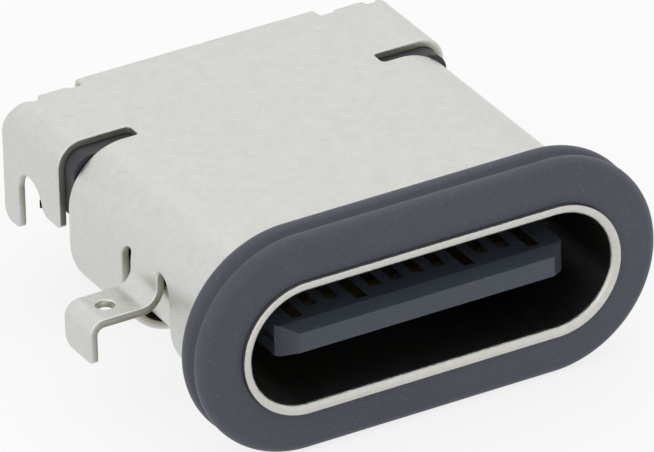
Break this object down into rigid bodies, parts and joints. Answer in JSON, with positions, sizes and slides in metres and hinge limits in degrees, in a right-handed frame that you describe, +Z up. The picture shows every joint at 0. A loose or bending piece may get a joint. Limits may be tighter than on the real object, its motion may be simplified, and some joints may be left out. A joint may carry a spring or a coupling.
{
  "type": "usb-c socket",
  "caption": "Sealed board-sunk socket: stamped steel shell with side tabs and legs, rubber seal ring round an oblong mouth, central tongue with gold contacts.",
  "frame": {"origin": "centre of the plug opening, level with the front of the metal lip", "axes": "+X across the opening to the right seen from behind the socket, +Y into the socket from the mouth to the tails, +Z up from the board; the mouth faces -Y"},
  "size_m": [0.0122, 0.0099, 0.0048],
  "materials": {
    "shell_steel": "satin plated sheet with a very fine mottled grain",
    "tube_steel": "bright rounded lip, darker satin inside",
    "seal_rubber": "matte silicone, dark blue-grey",
    "tongue_plastic": "moulded, fine matte",
    "housing_plastic": "moulded, fine matte",
    "potting": "cured resin",
    "plate_steel": "cold-rolled, plain",
    "contact_gold": "gold plated over nickel"
  },
  "bodies": {
    "root": {"inner_tube": "tube_steel", "outer_shell": "shell_steel", "seal_gasket": "seal_rubber", "tongue_frame": "tongue_plastic", "upper_insert": "tongue_plastic", "lower_insert": "tongue_plastic", "mid_plate": "plate_steel", "upper_ground_plate": "plate_steel", "lower_ground_plate": "plate_steel", "potting_seal": "potting", "rear_housing": "housing_plastic", "contact_a1": "contact_gold", "contact_a2": "contact_gold", "contact_a3": "contact_gold", "contact_a4": "contact_gold", "contact_a5": "contact_gold", "contact_a6": "contact_gold", "contact_a7": "contact_gold", "contact_a8": "contact_gold", "contact_a9": "contact_gold", "contact_a10": "contact_gold", "contact_a11": "contact_gold", "contact_a12": "contact_gold", "contact_b1": "contact_gold", "contact_b2": "contact_gold", "contact_b3": "contact_gold", "contact_b4": "contact_gold", "contact_b5": "contact_gold", "contact_b6": "contact_gold", "contact_b7": "contact_gold", "contact_b8": "contact_gold", "contact_b9": "contact_gold", "contact_b10": "contact_gold", "contact_b11": "contact_gold", "contact_b12": "contact_gold"}
  },
  "joints": []
}
